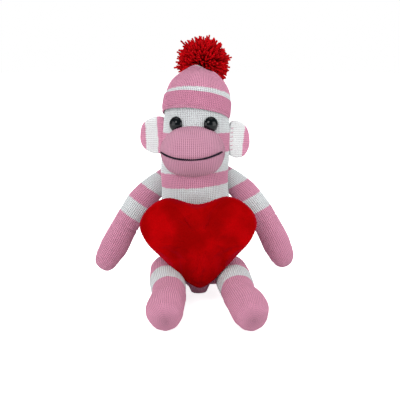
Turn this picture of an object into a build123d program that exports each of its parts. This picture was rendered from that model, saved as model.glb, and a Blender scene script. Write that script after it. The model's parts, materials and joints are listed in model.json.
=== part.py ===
"""Seated knitted monkey with a bobble hat and a plush heart.

Millimetres. +Z is up, the monkey faces -Y, and the origin is the centre of the flat seat on the floor.
Every knitted tube is a shell (NAME_skin) over a polyester core (NAME_stuffing). A limb ends in a ball
that sits in a round dimple of the body, tied on by a loop of thread that lies in the gap between them.
Torso, head, hat and arms are drawn in an upright frame, and the torso's lean is applied to them at the end.
"left" is the monkey's own left, the side with positive X.
"""

import os
from math import cos, hypot, radians, sin, sqrt

from build123d import *

# ---- fabric and fits ------------------------------------------------------------------------------
KNIT = 1.2  # thickness of the knitted fabric
PLUSH = 1.4  # thickness of the heart's plush panels
FILL_GAP = 0.1  # between a fabric and the stuffing behind it
SEW_GAP = 0.3  # between two fabrics that are sewn together
DIMPLE_GAP = 1.6  # between a limb's ball and the dimple it sits in
THREAD = 0.35  # radius of the sewing thread

# ---- torso ----------------------------------------------------------------------------------------
LEAN_BACK = 3.0  # degrees
LEAN_SIDE = 2.2  # degrees, towards the right
TORSO_R = 33.5  # belly
CHEST_R = 32.0  # also the radius of the dome that the head sits on
NECK_Z = 112.0  # centre of that dome
SEAT_CURVE = 25.5  # radius of the rounded bottom edge
SEAT_DROP = -2.2  # lowest point before the seat is flattened
SEAT_WALL = 1.6

# ---- head -----------------------------------------------------------------------------------------
HEAD_TURN = 6.0  # degrees, towards the right
HEAD_ROLL = 4.0  # degrees, left side lower
HEAD_R = 32.3
HEAD_BASE_R = 28.9  # drawn in where it meets the shoulders
HEAD_TOP_R = 29.6  # dome under the hat
HEAD_TOP_Z = 190.0
NECK_GAP = 1.2
MUZZLE_HALF_WIDTH = 30.5
MUZZLE_R = 24.5  # radius of its round section
MUZZLE_Y = -27.5
MUZZLE_Z = 142.3
MUZZLE_ROLL = -2.5  # degrees, about straight ahead: levels the face on the tilted head
MOUTH_DROP = 6.0  # middle of the mouth below the muzzle's centre
MOUTH_YARN_R = 0.85
EYE_R = 6.5
EYE_HEIGHT = 5.0
EYE_Z = {"left": 169.2, "right": 168.2}
EYE_ANGLE = 30.5  # degrees to each side of straight ahead
STEM_R = 1.5
STEM_LENGTH = 13.0
WASHER_R = 6.0
WASHER_THICKNESS = 1.6
WASHER_DEPTH = 3.5  # its middle, below the surface of the face
EAR_R = 18.5
EAR_HALF_THICKNESS = 4.6
EAR_Z = 153.5
EAR_Y = 3.0
EAR_ROOT_X = 36.0  # hinge line, from the head's axis
EAR_CENTRE_X = 38.5
EAR_SWEEP = {"left": 28.0, "right": 12.0}  # degrees back from square to the front

# ---- hat and pompom -------------------------------------------------------------------------------
HAT_R = 31.4  # crown
HAT_CENTRE_Z = 186.0  # middle of the folded cuff, on the head's axis
HAT_CROWN_RISE = 4.6  # centre of the crown above the middle of the cuff
CUFF_R = 34.2
CUFF_HALF_HEIGHT = 8.4
HAT_TIP_BACK = 15.0  # degrees
HAT_TIP_SIDE = 3.0  # degrees, left side lower
POM_R = 24.0
POM_BACK = 51.0  # degrees behind the top of the crown
POM_SIDE = 0.5  # degrees to the left
KNOT_R = 1.8
POM_CLEARANCE = 2.0  # from the knot's centre to the pompom

# ---- arms, legs and tail --------------------------------------------------------------------------
SHOULDER_X = 41.5
SHOULDER_Y = 4.0
SHOULDER_Z = 111.0
ARM_ANGLE = {"left": 29.5, "right": 34.5}  # degrees out from the torso's own axis
ARM_BACK = 5.0  # degrees
ARM_ROOT_R = 13.0
ARM_LENGTH = 101.5  # from the shoulder's centre to the tip of the hand
ARM_STATIONS = ((12.6, 18.0), (11.9, 43.0), (12.5, 63.0), (12.0, 83.0), (8.4, 96.5))  # radius, distance

HIP_X = 30.5
HIP_Y = -24.0
HIP_Z = 25.0
LEG_SPLAY = {"left": 8.5, "right": -0.5}  # degrees out from straight ahead
LEG_DIP = 5.4  # degrees below level
LEG_ROOT_R = 16.0
LEG_LENGTH = 102.0
LEG_STATIONS = ((15.8, 20.0), (15.1, 46.0), (16.2, 68.0), (16.0, 84.0), (10.4, 98.0))
LEG_DROP = 90.0  # degrees that a leg swings down, which the torso leaves room for
LEG_DROP_REACH = 60.0  # how far from the hip that room goes

TAIL_Y = 40.0
TAIL_Z = 12.0
TAIL_DIP = 2.5
TAIL_ROOT_R = 7.6
TAIL_LENGTH = 88.0
TAIL_STATIONS = ((7.4, 20.0), (7.0, 45.0), (7.2, 70.0), (4.8, 84.0))

GATHER_R = 2.6  # hole left where a tube's open end is gathered
TIE_ANGLE = 28.0  # degrees from the ball's pole to the loop of thread round it

# ---- heart ----------------------------------------------------------------------------------------
HEART_TIP = (0.6, -51.0, 21.6)
HEART_TILT = 6.0  # degrees, top leaning back
HEART_HALF_THICKNESS = 14.0
HEART_CENTRE = 48.0  # point that its sections shrink towards, above the tip
# Left half of the outline, from the tip round to the notch: x and height above the tip.
HEART_OUTLINE = (
    (0.0, 0.0),
    (10.0, 4.2),
    (20.0, 13.0),
    (33.4, 27.3),
    (43.8, 37.8),
    (51.0, 48.5),
    (53.9, 57.5),
    (51.3, 66.5),
    (44.5, 75.0),
    (36.0, 80.8),
    (26.5, 83.3),
    (17.5, 81.3),
    (9.0, 78.2),
    (0.0, 76.6),
)
HEART_TACK_Z = 88.0
TACK_R = 1.0

SIDES = {"left": 1.0, "right": -1.0}

TORSO_FRAME = Location((0, 0, 0), (-LEAN_BACK, -LEAN_SIDE, 0))
NECK = Location((0, 0, NECK_Z))
HEAD_FRAME = TORSO_FRAME * NECK * Location((0, 0, 0), (0, HEAD_ROLL, -HEAD_TURN)) * NECK.inverse()
MUZZLE_FRAME = Location((0, MUZZLE_Y, MUZZLE_Z), (0, MUZZLE_ROLL, 0))

parts = {}


# ---- helpers --------------------------------------------------------------------------------------
def spun(*edges):
    """Solid of revolution about Z of a closed outline drawn as (radius, height)."""
    return revolve(Plane.XZ * make_face(edges), Axis.Z)


def ball(radius, centre=(0, 0, 0)):
    return Pos(*centre) * Sphere(radius)


def limb_shape(root_r, stations, length, inset=0.0):
    """Round limb along +Z: a ball about the origin, then a tube through the stations to a closed tip."""
    r = root_r - inset
    tip = (0, length - inset)
    root = RadiusArc((0, -r), (r, 0), -r)
    side = Spline((r, 0), *[(sr - inset, z) for sr, z in stations], tip, tangents=((0, 1), (-1, 0)))
    return spun(root, side, Line(tip, (0, -r)))


def tie_loop(ball_r, gap):
    """Loop of thread round the pole (-Z side) of a limb's ball, in the middle of the gap to its dimple."""
    reach = ball_r + gap / 2
    ring = Torus(reach * sin(radians(TIE_ANGLE)), THREAD)
    return Pos(0, 0, -reach * cos(radians(TIE_ANGLE))) * ring


def add_limb(name, place, root_r, stations, length):
    """A limb's knitted skin and its stuffing, with the gathered hole at the root."""
    hole = Pos(0, 0, -root_r) * Cylinder(GATHER_R, 3 * KNIT)
    skin = limb_shape(root_r, stations, length) - limb_shape(root_r, stations, length, KNIT) - hole
    parts[f"{name}_skin"] = place * skin
    parts[f"{name}_stuffing"] = place * limb_shape(root_r, stations, length, KNIT + FILL_GAP)


def shoulder_place(side):
    """Frame of an arm at rest: its +Z runs from the shoulder to the hand."""
    out = SIDES[side] * ARM_ANGLE[side]
    down = Location((0, 0, 0), (180 - ARM_BACK, 0, 0))
    return TORSO_FRAME * Pos(SIDES[side] * SHOULDER_X, SHOULDER_Y, SHOULDER_Z) * Rot(0, -out, 0) * down


def hip_place(side):
    """Frame of a leg at rest: its +Z runs from the hip to the toe."""
    turn = Rot(0, 0, SIDES[side] * LEG_SPLAY[side])
    return Pos(SIDES[side] * HIP_X, HIP_Y, HIP_Z) * turn * Rot(90 + LEG_DIP, 0, 0)


def tail_place():
    return Pos(0, TAIL_Y, TAIL_Z) * Rot(-90 - TAIL_DIP, 0, 0)


# ---- torso ----------------------------------------------------------------------------------------
def hip_room(side, grow):
    """Space that a leg fills at the hip from rest to hanging straight down."""
    r = LEG_ROOT_R + DIMPLE_GAP + grow
    hip = Pos(SIDES[side] * HIP_X, HIP_Y, HIP_Z)
    centre = hip * Sphere(r)
    tube = Cylinder(r, LEG_DROP_REACH, align=(Align.CENTER, Align.CENTER, Align.MIN))
    room = centre + hip_place(side) * tube + hip * Rot(180, 0, 0) * tube
    # Between those two positions the tube passes through a quarter of a wheel.
    low_front = Box(2 * r, LEG_DROP_REACH, LEG_DROP_REACH, align=(Align.CENTER, Align.MAX, Align.MAX))
    return room + hip * low_front


def torso_shape(inset=0.0):
    """Torso with its dimples for arms, legs and tail, cut flat where it sits."""
    base_z = SEAT_CURVE + SEAT_DROP
    base = (TORSO_R - SEAT_CURVE, SEAT_DROP + inset)
    hip = (TORSO_R - inset, base_z)
    corner = RadiusArc(base, hip, -(SEAT_CURVE - inset))
    chest = (CHEST_R - inset, NECK_Z)
    top = (0, NECK_Z + CHEST_R - inset)
    dome = RadiusArc(chest, top, -(CHEST_R - inset))
    bottom = Line((0, base[1]), base)
    outline = (bottom, corner, Line(hip, chest), dome, Line(top, (0, base[1])))
    shape = TORSO_FRAME * spun(*outline)
    floor = SEAT_WALL if inset else 0.0
    shape -= Pos(0, 0, floor) * Box(120, 120, 60, align=(Align.CENTER, Align.CENTER, Align.MAX))
    dimple_r = ARM_ROOT_R + DIMPLE_GAP + inset
    for side_name, sign in SIDES.items():
        shape -= TORSO_FRAME * ball(dimple_r, (sign * SHOULDER_X, SHOULDER_Y, SHOULDER_Z))
        shape -= hip_room(side_name, inset)
    return shape - ball(TAIL_ROOT_R + DIMPLE_GAP + inset, (0, TAIL_Y, TAIL_Z))


def make_torso():
    parts["torso_skin"] = torso_shape() - torso_shape(KNIT)
    parts["torso_stuffing"] = torso_shape(KNIT + FILL_GAP)
    rise = CHEST_R * 0.4
    ring_r = sqrt((CHEST_R + NECK_GAP / 2) ** 2 - rise**2)
    parts["neck_thread"] = TORSO_FRAME * Pos(0, 0, NECK_Z + rise) * Torus(ring_r, THREAD)


# ---- head -----------------------------------------------------------------------------------------
def head_block(inset=0.0):
    """The head's outside, before the neck is hollowed to fit over the torso's dome."""
    low, top_r = NECK_Z - 4, HEAD_TOP_R - inset
    side = Spline(
        (HEAD_BASE_R - inset, low),
        (HEAD_R - inset, 132),
        (HEAD_R - inset, 152),
        (31.6 - inset, 170),
        (top_r, HEAD_TOP_Z),
        tangents=((0, 1), (0, 1)),
    )
    top = (0, HEAD_TOP_Z + top_r)
    dome = RadiusArc((top_r, HEAD_TOP_Z), top, -top_r)
    return spun(Line((0, low), (HEAD_BASE_R - inset, low)), side, dome, Line(top, (0, low)))


def eye_place(side):
    """Frame of an eye: origin on the head's surface, +Z straight out of the face."""
    surface = 31.6
    return Pos(0, 0, EYE_Z[side]) * Rot(0, 0, SIDES[side] * EYE_ANGLE) * Pos(0, -surface, 0) * Rot(90, 0, 0)


def eye_shape(grow=0.0):
    """Domed button eye on a stem that runs into the head along -Z."""
    r, h = EYE_R + grow, EYE_HEIGHT + 2 * grow
    base = 0.8 - grow
    dome_r = (r**2 + h**2) / (2 * h)
    above = Pos(0, 0, base) * Box(4 * r, 4 * r, 4 * r, align=(Align.CENTER, Align.CENTER, Align.MIN))
    dome = ball(dome_r, (0, 0, base + h - dome_r)) & above
    stem_top = Pos(0, 0, base + 0.5)
    stem = Cylinder(STEM_R + grow, STEM_LENGTH + grow, align=(Align.CENTER, Align.CENTER, Align.MAX))
    return dome + stem_top * stem


def washer_shape(grow=0.0):
    """Domed push-on washer that locks the stem inside the head."""
    disc = Cylinder(WASHER_R + grow, WASHER_THICKNESS + 2 * grow)
    return disc if grow else disc - Cylinder(STEM_R + 0.03, 2 * WASHER_THICKNESS)


def make_head():
    neck = ball(CHEST_R + NECK_GAP, (0, 0, NECK_Z))
    skin = head_block() - head_block(KNIT) - neck
    # The fabric that closes the neck follows the torso's dome.
    floor = (head_block() & ball(CHEST_R + NECK_GAP + KNIT, (0, 0, NECK_Z))) - neck
    skin += floor
    core = head_block(KNIT + FILL_GAP) - ball(CHEST_R + NECK_GAP + KNIT + FILL_GAP, (0, 0, NECK_Z))
    for side in SIDES:
        place = eye_place(side)
        washer_at = place * Pos(0, 0, -WASHER_DEPTH)
        parts[f"{side}_eye"] = HEAD_FRAME * place * eye_shape()
        parts[f"{side}_eye_washer"] = HEAD_FRAME * washer_at * washer_shape()
        skin -= place * Cylinder(STEM_R + 0.1, 12)
        core -= place * eye_shape(0.1)
        core -= washer_at * washer_shape(0.1)
    parts["head_skin"] = HEAD_FRAME * skin
    parts["head_stuffing"] = HEAD_FRAME * core


def muzzle_block(inset=0.0):
    """Muzzle: a short round bar across the face with ball ends."""
    r, a = MUZZLE_R - inset, MUZZLE_HALF_WIDTH - MUZZLE_R
    low_end = RadiusArc((0, -a - r), (r, -a), -r)
    high_end = RadiusArc((r, a), (0, a + r), -r)
    bar = spun(low_end, Line((r, -a), (r, a)), high_end, Line((0, a + r), (0, -a - r)))
    return MUZZLE_FRAME * Rot(0, 90, 0) * bar


def mouth_point(x):
    """Point of the mouth line in the muzzle's frame, just proud of it, at a distance x from its middle."""
    reach = 27.0
    past_bar = max(abs(x) - (MUZZLE_HALF_WIDTH - MUZZLE_R), 0)
    r = sqrt((MUZZLE_R + MOUTH_YARN_R + 0.1) ** 2 - past_bar**2)
    dz = -MOUTH_DROP * (1 - (x / reach) ** 2) + 1.0
    return (x, -sqrt(r**2 - dz**2), dz)


def make_muzzle():
    face = head_block(-SEW_GAP)
    # The chin is pressed in where it comes near the torso's dome, so that the head can turn.
    neck_r = CHEST_R + NECK_GAP
    neck = (0, 0, NECK_Z)
    skin = muzzle_block() - muzzle_block(KNIT) - face - ball(neck_r, neck)
    skin += (muzzle_block() & ball(neck_r + KNIT, neck)) - ball(neck_r, neck) - face
    core = muzzle_block(KNIT + FILL_GAP) - face - ball(neck_r + KNIT + FILL_GAP, neck)
    for side in SIDES:
        skin -= eye_place(side) * eye_shape(0.2)
        core -= eye_place(side) * eye_shape(0.2)
    parts["muzzle_skin"] = HEAD_FRAME * max(skin.solids(), key=lambda s: s.volume)
    parts["muzzle_stuffing"] = HEAD_FRAME * core
    line = Spline(*[mouth_point(x) for x in (-27, -22, -15, -7, 0, 7, 15, 22, 27)])
    start = Plane(origin=line @ 0, z_dir=line % 0)
    parts["mouth_yarn"] = HEAD_FRAME * MUZZLE_FRAME * sweep(start * Circle(MOUTH_YARN_R), path=line)


def make_ears():
    for side, sign in SIDES.items():
        r, t = EAR_R, EAR_HALF_THICKNESS
        face_r = (r**2 + t**2) / (2 * t)
        lens = ball(face_r, (0, 0, t - face_r)) & ball(face_r, (0, 0, face_r - t))
        lens = fillet(lens.edges(), 1.2)
        ear = Pos(sign * (EAR_CENTRE_X - EAR_ROOT_X), 0, 0) * Rot(90, 0, 0) * lens
        keep = Box(60, 60, 60, align=(Align.MIN if sign > 0 else Align.MAX, Align.CENTER, Align.CENTER))
        place = Pos(sign * EAR_ROOT_X, EAR_Y, EAR_Z) * Rot(0, 0, sign * EAR_SWEEP[side])
        parts[f"{side}_ear"] = HEAD_FRAME * place * (ear & keep)
        seam = Pos(sign * (HEAD_R + 1.1), EAR_Y, EAR_Z) * Cylinder(0.5, 2 * EAR_R - 12)
        parts[f"{side}_ear_thread"] = HEAD_FRAME * seam


# ---- hat ------------------------------------------------------------------------------------------
def make_hat():
    low, high, rise = -CUFF_HALF_HEIGHT, CUFF_HALF_HEIGHT, HAT_CROWN_RISE
    crown_start = (sqrt(HAT_R**2 - (high - rise) ** 2), high)
    crown_top = (0, rise + HAT_R)
    outline = [
        Line((0, low), (CUFF_R - 2, low)),
        RadiusArc((CUFF_R - 2, low), (CUFF_R, low + 2), -2),
        Line((CUFF_R, low + 2), (CUFF_R, high - 2)),
        Line((CUFF_R, high - 2), crown_start),
        RadiusArc(crown_start, crown_top, -HAT_R),
        Line(crown_top, (0, low)),
    ]
    tipped = Pos(0, 0, HAT_CENTRE_Z) * Rot(-HAT_TIP_BACK, HAT_TIP_SIDE, 0)
    parts["hat"] = HEAD_FRAME * (tipped * spun(*outline) - head_block(-SEW_GAP))

    crown = tipped * Pos(0, 0, rise)
    aim = Pos(*crown.position) * Rot(-POM_BACK, POM_SIDE, 0)
    knot = aim * Pos(0, 0, HAT_R + KNOT_R + 0.4)
    parts["pompom_thread"] = HEAD_FRAME * knot * Sphere(KNOT_R)
    parts["pompom"] = HEAD_FRAME * knot * Pos(0, 0, POM_CLEARANCE + POM_R) * Sphere(POM_R)


# ---- heart ----------------------------------------------------------------------------------------
def heart_section(depth, inset):
    """Outline of the heart at a depth from its seam, smaller towards the front and back."""
    share = abs(depth) / (HEART_HALF_THICKNESS - inset)
    scale = 0.45 + 0.55 * sqrt(1 - share**2)
    mid = HEART_CENTRE
    half = [(x, z) for x, z in HEART_OUTLINE]
    loop = half + [(-x, z) for x, z in reversed(half[1:-1])]
    points = []
    for x, z in loop:
        away = hypot(x, z - mid)
        shrink = scale * (away - inset) / away
        points.append((x * shrink, depth, mid + (z - mid) * shrink))
    return Wire([Spline(*points, periodic=True)])


def heart_half(direction, inset=0.0):
    """Front (-1) or back (+1) half of the pillow, as a loft of shrinking outlines."""
    t = HEART_HALF_THICKNESS - inset
    steps = (0.0, 0.35, 0.62, 0.84, 0.96, 1.0)
    wires = [heart_section(direction * t * s, inset) for s in steps]
    return loft([Face(w) for w in wires])


def make_heart():
    place = Pos(*HEART_TIP) * Rot(-HEART_TILT, 0, 0)
    for name, direction in (("heart_front_panel", -1), ("heart_back_panel", 1)):
        panel = heart_half(direction) - heart_half(direction, PLUSH)
        parts[name] = place * panel
    inset = PLUSH + FILL_GAP
    parts["heart_stuffing"] = place * (heart_half(-1, inset) + heart_half(1, inset))
    parts["heart_tack_thread"] = Pos(HEART_TIP[0], -29.4, HEART_TACK_Z) * Sphere(TACK_R)


def main():
    make_torso()
    make_head()
    make_muzzle()
    make_ears()
    make_hat()
    make_heart()
    for side in SIDES:
        add_limb(f"{side}_arm", shoulder_place(side), ARM_ROOT_R, ARM_STATIONS, ARM_LENGTH)
        add_limb(f"{side}_leg", hip_place(side), LEG_ROOT_R, LEG_STATIONS, LEG_LENGTH)
        pole = TORSO_FRAME * Pos(SIDES[side] * SHOULDER_X, SHOULDER_Y, SHOULDER_Z)
        pole *= Rot(0, -SIDES[side] * 90, 0) * Rot(180, 0, 0)
        parts[f"{side}_shoulder_thread"] = pole * tie_loop(ARM_ROOT_R, DIMPLE_GAP)
        hip = Pos(SIDES[side] * HIP_X, HIP_Y, HIP_Z) * Rot(90, 0, 0)
        parts[f"{side}_hip_thread"] = hip * tie_loop(LEG_ROOT_R, DIMPLE_GAP)
    add_limb("tail", tail_place(), TAIL_ROOT_R, TAIL_STATIONS, TAIL_LENGTH)
    parts["tail_thread"] = tail_place() * tie_loop(TAIL_ROOT_R, DIMPLE_GAP)
    os.makedirs("parts", exist_ok=True)
    for name, shape in parts.items():
        export_step(shape, f"parts/{name}.step")


main()
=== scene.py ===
"""Looks of the seated knitted monkey: striped knit skins, plush heart, yarn pompom, glossy eyes.

Shapes are worked out in millimetres, in the CAD's own local frames, and turned to metres when a mesh is made.
"left" is the monkey's own left, the side with positive X.
"""

import json
import random
from math import atan2, ceil, cos, exp, floor, pi, radians, sin, sqrt

import bpy
import numpy as np
from mathutils import Matrix, Vector, noise


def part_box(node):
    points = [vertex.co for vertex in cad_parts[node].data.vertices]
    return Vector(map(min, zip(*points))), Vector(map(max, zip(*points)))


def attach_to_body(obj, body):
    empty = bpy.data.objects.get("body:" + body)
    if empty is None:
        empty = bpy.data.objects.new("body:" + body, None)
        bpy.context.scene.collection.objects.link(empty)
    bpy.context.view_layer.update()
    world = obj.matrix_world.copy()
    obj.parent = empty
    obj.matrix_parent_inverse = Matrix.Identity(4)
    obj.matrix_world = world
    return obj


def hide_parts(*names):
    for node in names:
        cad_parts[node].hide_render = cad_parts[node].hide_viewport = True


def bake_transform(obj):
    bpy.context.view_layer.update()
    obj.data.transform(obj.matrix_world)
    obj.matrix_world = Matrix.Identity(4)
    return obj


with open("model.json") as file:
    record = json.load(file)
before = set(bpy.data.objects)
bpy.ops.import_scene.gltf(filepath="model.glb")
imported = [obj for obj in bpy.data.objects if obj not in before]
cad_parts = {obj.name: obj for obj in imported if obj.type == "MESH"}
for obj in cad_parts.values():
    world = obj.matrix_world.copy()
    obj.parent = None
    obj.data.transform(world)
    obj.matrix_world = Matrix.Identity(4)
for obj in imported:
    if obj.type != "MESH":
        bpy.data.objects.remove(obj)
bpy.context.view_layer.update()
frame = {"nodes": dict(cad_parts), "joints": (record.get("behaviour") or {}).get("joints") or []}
joints = {j["name"]: j for j in frame["joints"]}

MM = 0.001
SIDES = {"left": 1.0, "right": -1.0}

# ---- local frames, as in the CAD ----


def rot(x=0.0, y=0.0, z=0.0):
    """Turn by degrees about X, then Y, then Z of the turned frame."""
    turn = Matrix()
    for angle, axis in ((x, "X"), (y, "Y"), (z, "Z")):
        turn = turn @ Matrix.Rotation(radians(angle), 4, axis)
    return turn


def move(x, y, z):
    return Matrix.Translation((x, y, z))


LEAN_BACK, LEAN_SIDE = 3.0, 2.2  # degrees
HEAD_ROLL, HEAD_TURN = 4.0, 6.0
NECK_Z = 112.0
TORSO = rot(-LEAN_BACK, -LEAN_SIDE, 0)
HEAD = TORSO @ move(0, 0, NECK_Z) @ rot(0, HEAD_ROLL, -HEAD_TURN) @ move(0, 0, -NECK_Z)
SHOULDER = (41.5, 4.0, 111.0)
ARM_ANGLE = {"left": 29.5, "right": 34.5}  # degrees away from the body
ARM_TILT = 175.0  # from pointing up, over the front
LEG_SPLAY = {"left": 8.5, "right": -0.5}
LEG_TILT = 95.4
TAIL_TILT = -92.5
MUZZLE_Y, MUZZLE_Z, MUZZLE_ROLL = -27.5, 142.3, -2.5
MUZZLE = HEAD @ move(0, MUZZLE_Y, MUZZLE_Z) @ rot(0, MUZZLE_ROLL, 0)


def joint_mm(name):
    return [c / MM for c in joints[name]["pos_m"]]


def shoulder_place(side):
    x, y, z = SHOULDER
    turn = rot(0, -SIDES[side] * ARM_ANGLE[side], 0) @ rot(ARM_TILT, 0, 0)
    return TORSO @ move(SIDES[side] * x, y, z) @ turn


def hip_place(side):
    turn = rot(0, 0, SIDES[side] * LEG_SPLAY[side]) @ rot(LEG_TILT, 0, 0)
    return move(*joint_mm(f"{side}_hip_swing")) @ turn


# ---- node materials ----


class Mat:
    """A node material, or the world, with short calls for the nodes that they share."""

    def __init__(self, name, world=False):
        self.mat = (bpy.data.worlds if world else bpy.data.materials).new(name)
        self.mat.use_nodes = True
        self.tree = self.mat.node_tree
        self.bsdf = self.tree.nodes["Background" if world else "Principled BSDF"]

    def node(self, kind, **settings):
        n = self.tree.nodes.new(kind)
        for key, value in settings.items():
            setattr(n, key, value)
        return n

    def plug(self, value, socket):
        if isinstance(value, bpy.types.NodeSocket):
            self.tree.links.new(value, socket)
        else:
            socket.default_value = value

    def math(self, operation, a, b=0.0, clamp=False):
        n = self.node("ShaderNodeMath", operation=operation, use_clamp=clamp)
        self.plug(a, n.inputs[0])
        self.plug(b, n.inputs[1])
        return n.outputs[0]

    def plus(self, a, b, share, clamp=False):
        """a, and a share of b."""
        return self.math("ADD", a, self.math("MULTIPLY", b, share), clamp)

    def span(self, value, low, high, to_low=0.0, to_high=1.0):
        n = self.node("ShaderNodeMapRange")
        n.interpolation_type = "SMOOTHSTEP"
        for v, i in ((value, 0), (low, 1), (high, 2), (to_low, 3), (to_high, 4)):
            self.plug(v, n.inputs[i])
        return n.outputs[0]

    def mix(self, share, a, b, blend="MIX"):
        n = self.node("ShaderNodeMix", data_type="RGBA", blend_type=blend)
        self.plug(share, n.inputs[0])
        self.plug(a, n.inputs[6])
        self.plug(b, n.inputs[7])
        return n.outputs[2]

    def times(self, color, tint):
        return self.mix(1.0, color, tint, "MULTIPLY")

    def noise(self, vector, scale, detail=2.0, rough=0.5):
        n = self.node("ShaderNodeTexNoise")
        for socket, value in (("Vector", vector), ("Scale", scale), ("Detail", detail), ("Roughness", rough)):
            self.plug(value, n.inputs[socket])
        return n.outputs["Fac"]

    def object_mm(self):
        """Object coordinates in millimetres."""
        n = self.node("ShaderNodeVectorMath", operation="SCALE")
        self.plug(self.node("ShaderNodeTexCoord").outputs["Object"], n.inputs[0])
        self.plug(1 / MM, n.inputs["Scale"])
        return n.outputs[0]

    def bump(self, height, distance, strength=1.0):
        n = self.node("ShaderNodeBump")
        for socket, value in (("Height", height), ("Distance", distance), ("Strength", strength)):
            self.plug(value, n.inputs[socket])
        self.plug(n.outputs["Normal"], self.bsdf.inputs["Normal"])

    def finish(self, color, rough, sheen=0.0, tint=(1, 1, 1, 1), specular=0.12):
        looks = (
            ("Base Color", color), ("Roughness", rough), ("Sheen Weight", sheen), ("Sheen Roughness", 0.45),
            ("Sheen Tint", tint), ("Specular IOR Level", specular),
        )
        for socket, value in looks:
            self.plug(value, self.bsdf.inputs[socket])
        return self.mat


PINK = (0.70, 0.305, 0.44, 1)
DEEP_PINK = (0.69, 0.275, 0.415, 1)
WHITE = (0.74, 0.80, 0.80, 1)
EAR_WHITE = (0.84, 0.89, 0.88, 1)
MUZZLE_PINK = (0.61, 0.30, 0.41, 1)
GAP = (0.34, 0.25, 0.29, 1)  # share of the light that is left between stitches
SHALLOW_GAP = (0.62, 0.54, 0.58, 1)
BLOTCH = (0.78, 0.70, 0.74, 1)  # tint of the slightly darker patches
WALE = 1.9  # width of one column of stitches, mm
ROW = 1.7  # height of one stitch, mm
V_SLANT = 0.6  # how far the middle of a stitch lies past its edges, in rows
EDGE_WANDER = 2.2  # how far the edge of a stripe wanders, mm
BELOW_ALL = -99.0  # start of a band that has no lower edge


def knit(name, bands, wales=0, jog=0.0, jog_at=0.5, slope=0.0, ribs=0.5, depth=0.8, shadow=GAP):
    """Stocking stitch. UV x counts columns, UV y is millimetres along the tube. bands: (start, colour) in mm.

    jog: the step in the stripes where a round of knitting starts, once in each turn of wales columns.
    slope: how far the stripes lean, mm."""
    m = Mat(name)
    split = m.node("ShaderNodeSeparateXYZ")
    m.plug(m.node("ShaderNodeUVMap", uv_map="knit").outputs["UV"], split.inputs[0])
    x, y = split.outputs[0], split.outputs[1]
    valley = m.math("ABSOLUTE", m.math("SUBTRACT", m.math("MULTIPLY", m.math("FRACT", x), 2.0), 1.0))
    slant = m.math("MULTIPLY", valley, V_SLANT)
    phase = m.math("FRACT", m.math("SUBTRACT", m.math("DIVIDE", y, ROW), slant))
    leg = m.math("SUBTRACT", 1.0, m.math("ABSOLUTE", m.math("SUBTRACT", m.math("MULTIPLY", phase, 2.0), 1.0)))
    dome = m.math("SUBTRACT", 1.0, m.math("POWER", valley, 2.4))
    height = m.math("ADD", m.math("MULTIPLY", dome, ribs), m.math("MULTIPLY", leg, 1.0 - ribs))

    at = m.node("ShaderNodeCombineXYZ")
    m.plug(m.math("MULTIPLY", x, WALE), at.inputs[0])
    m.plug(y, at.inputs[1])
    fuzz = m.noise(at.outputs[0], 1.3, 3.0, 0.65)
    blotch = m.noise(at.outputs[0], 0.07, 2.0)

    # The edge of a stripe follows the stitches, and steps where each round starts.
    edge = m.plus(y, slant, ROW)
    edge = m.plus(edge, m.math("SUBTRACT", m.noise(at.outputs[0], 0.22), 0.5), EDGE_WANDER)
    if jog:
        turn = m.math("FRACT", m.math("ADD", m.math("DIVIDE", x, wales), jog_at))
        edge = m.plus(edge, m.math("SUBTRACT", turn, 0.5), jog)
    if slope:
        turn = m.math("MULTIPLY", m.math("DIVIDE", x, wales), 2 * pi)
        edge = m.plus(edge, m.math("SINE", turn), slope)
    color = bands[0][1]
    for start, shade in bands[1:]:
        color = m.mix(m.span(edge, start - 0.5, start + 0.5), color, shade)
    lit = m.plus(height, m.math("SUBTRACT", fuzz, 0.5), 0.55, clamp=True)
    color = m.mix(m.span(lit, 0.02, 0.82), m.times(color, shadow), color)
    color = m.mix(m.span(blotch, 0.3, 0.75, 0.0, 0.22), color, m.times(color, BLOTCH))
    m.bump(m.plus(height, fuzz, 0.6), depth * MM)
    rough = m.span(fuzz, 0.2, 0.8, 0.82, 0.98)
    return m.finish(color, rough, sheen=0.12, tint=(1, 0.93, 0.95, 1), specular=0.1)


def yarn(name, color, dark, scale=0.9, sheen=0.2, tinted=False):
    """Twisted yarn. With tinted, the mesh's own "tint" values vary its shade."""
    m = Mat(name)
    at = m.object_mm()
    twist = m.noise(at, scale, 3.0, 0.6)
    shade = m.mix(m.span(twist, 0.35, 0.65), dark, color)
    if tinted:
        own = m.node("ShaderNodeAttribute", attribute_name="tint").outputs["Fac"]
        shade = m.mix(own, shade, m.times(shade, (0.42, 0.3, 0.3, 1)))
    m.bump(twist, 0.3 * MM, 0.7)
    return m.finish(shade, m.span(twist, 0.2, 0.8, 0.8, 0.98), sheen=sheen, specular=0.06)


def plush(name):
    """Short-pile velvet with brushed patches, and a painted sheen towards its edges."""
    m = Mat(name)
    at = m.object_mm()
    pile = m.noise(at, 1.1, 4.0, 0.7)
    brushed = m.noise(at, 0.034, 3.0, 0.5)
    color = m.mix(m.span(brushed, 0.34, 0.68), (0.23, 0.0, 0.0, 1), (0.40, 0.0, 0.001, 1))
    color = m.mix(m.span(pile, 0.3, 0.7, 0.0, 0.3), color, (0.19, 0.0, 0.0, 1))
    # Painted sheen: the red turns brighter crimson where the surface is seen edge-on, standing in for light
    # caught by the velvet pile.
    facing = m.node("ShaderNodeLayerWeight")
    m.plug(0.35, facing.inputs["Blend"])
    painted_sheen = m.math("POWER", facing.outputs["Facing"], 2.5)
    color = m.mix(m.math("MULTIPLY", painted_sheen, 0.6), color, (0.46, 0.0, 0.045, 1))
    m.bump(pile, 0.35 * MM, 0.6)
    rough = m.span(pile, 0.2, 0.8, 0.85, 1.0)
    return m.finish(color, rough, sheen=0.06, tint=(1, 0.1, 0.3, 1), specular=0.02)


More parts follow.
